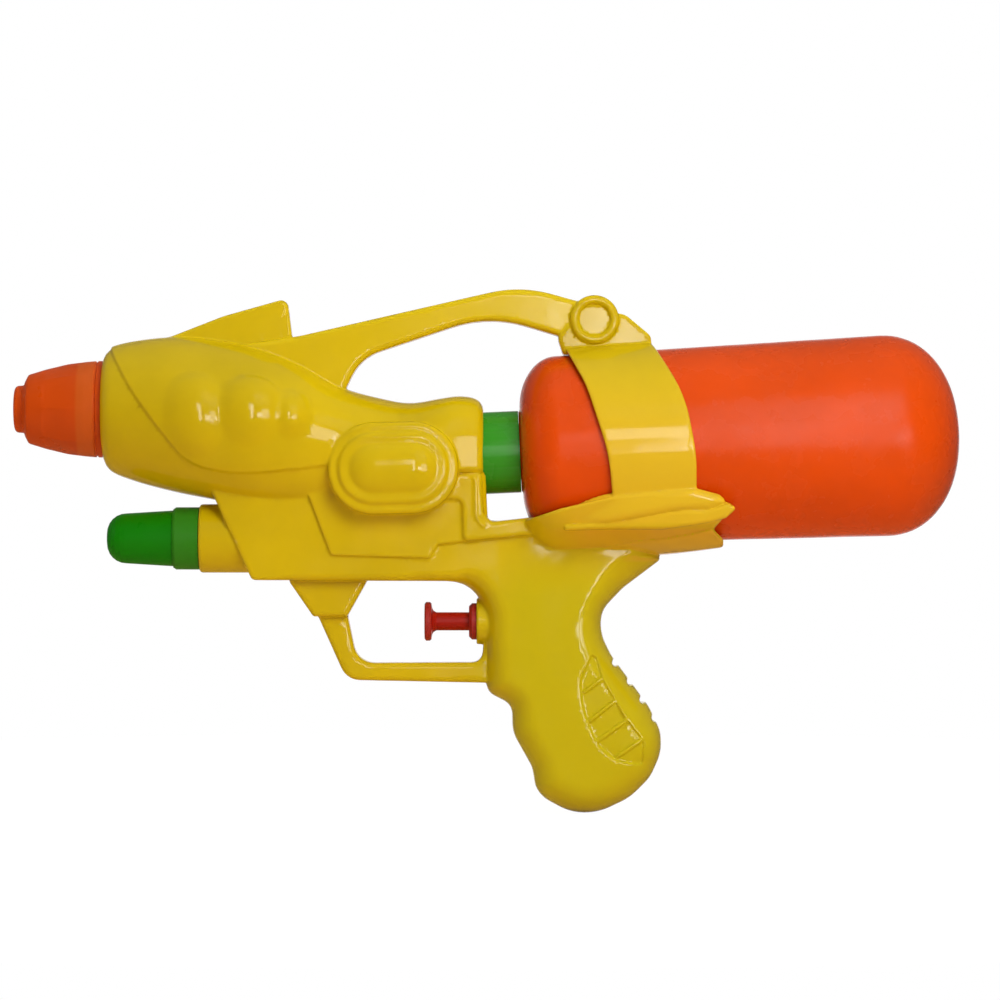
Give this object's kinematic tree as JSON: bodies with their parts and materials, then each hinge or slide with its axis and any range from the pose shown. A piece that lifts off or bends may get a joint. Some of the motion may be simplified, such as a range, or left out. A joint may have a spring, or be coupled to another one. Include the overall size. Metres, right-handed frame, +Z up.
{
  "type": "water squirter",
  "caption": "Toy water squirter with moulded shells, carry handle, finger trigger on a piston pump, round nozzle and a tank that screws into a collar.",
  "frame": {"origin": "bottom centre of the box around the part: the lowest point of the grip's height, the middle of the length and the seam plane", "axes": "+X along the barrel toward the tank end, with the muzzle toward -X; +Y across, from the left shell to the right one; +Z up"},
  "size_m": [0.3207, 0.0714, 0.1778],
  "materials": {
    "shell_yellow": "glossy moulded",
    "tank_orange": "satin blown",
    "nozzle_orange": "satin moulded",
    "green_plastic": "glossy moulded",
    "red_plastic": "glossy moulded",
    "natural_plastic": "plain moulded",
    "clear_tube": "soft extruded",
    "rubber": "moulded",
    "steel": "plain"
  },
  "bodies": {
    "gun": {"left_shell": "shell_yellow", "right_shell": "shell_yellow", "shell_screws": "steel", "nozzle": "nozzle_orange", "jet_spout": "natural_plastic", "muzzle_plug": "green_plastic", "tank_collar": "green_plastic", "dip_tube": "clear_tube", "suction_hose": "clear_tube", "delivery_hose": "clear_tube", "pump_cylinder": "natural_plastic", "gland": "red_plastic", "rod_seal": "rubber", "return_spring": "steel", "inlet_cap": "natural_plastic", "outlet_elbow": "natural_plastic"},
    "plunger": {"trigger": "red_plastic", "piston_seal": "rubber"},
    "gasket": {"neck_gasket": "rubber"},
    "tank": {"tank": "tank_orange"},
    "inlet_ball": {"inlet_ball": "steel"},
    "outlet_ball": {"outlet_ball": "steel"}
  },
  "joints": [
    {"name": "trigger_pull", "type": "slide", "parent": "gun", "child": "plunger", "axis": [1, 0, 0], "range_m": [0, 0.0105], "stiffness_N_per_m": 200, "springref_m": -0.01, "deforming": ["return_spring"]},
    {"name": "tank_back", "type": "slide", "parent": "gun", "child": "gasket", "axis": [0.999, 0, 0.0436], "range_m": [0, 0.008]},
    {"name": "tank_turn", "type": "hinge", "parent": "gasket", "child": "tank", "pos_m": [0.0117, 0, 0.1227], "axis": [0.999, 0, 0.0436], "range_deg": [0, 720]},
    {"name": "inlet_lift", "type": "slide", "parent": "gun", "child": "inlet_ball", "axis": [0, 0, 1], "range_m": [0, 0.0007]},
    {"name": "outlet_lift", "type": "slide", "parent": "gun", "child": "outlet_ball", "axis": [0, 0, 1], "range_m": [0, 0.0007]}
  ],
  "couplings": [
    {"joint": "tank_back", "follows": "tank_turn", "m_per_rad": 0.00063662}
  ]
}
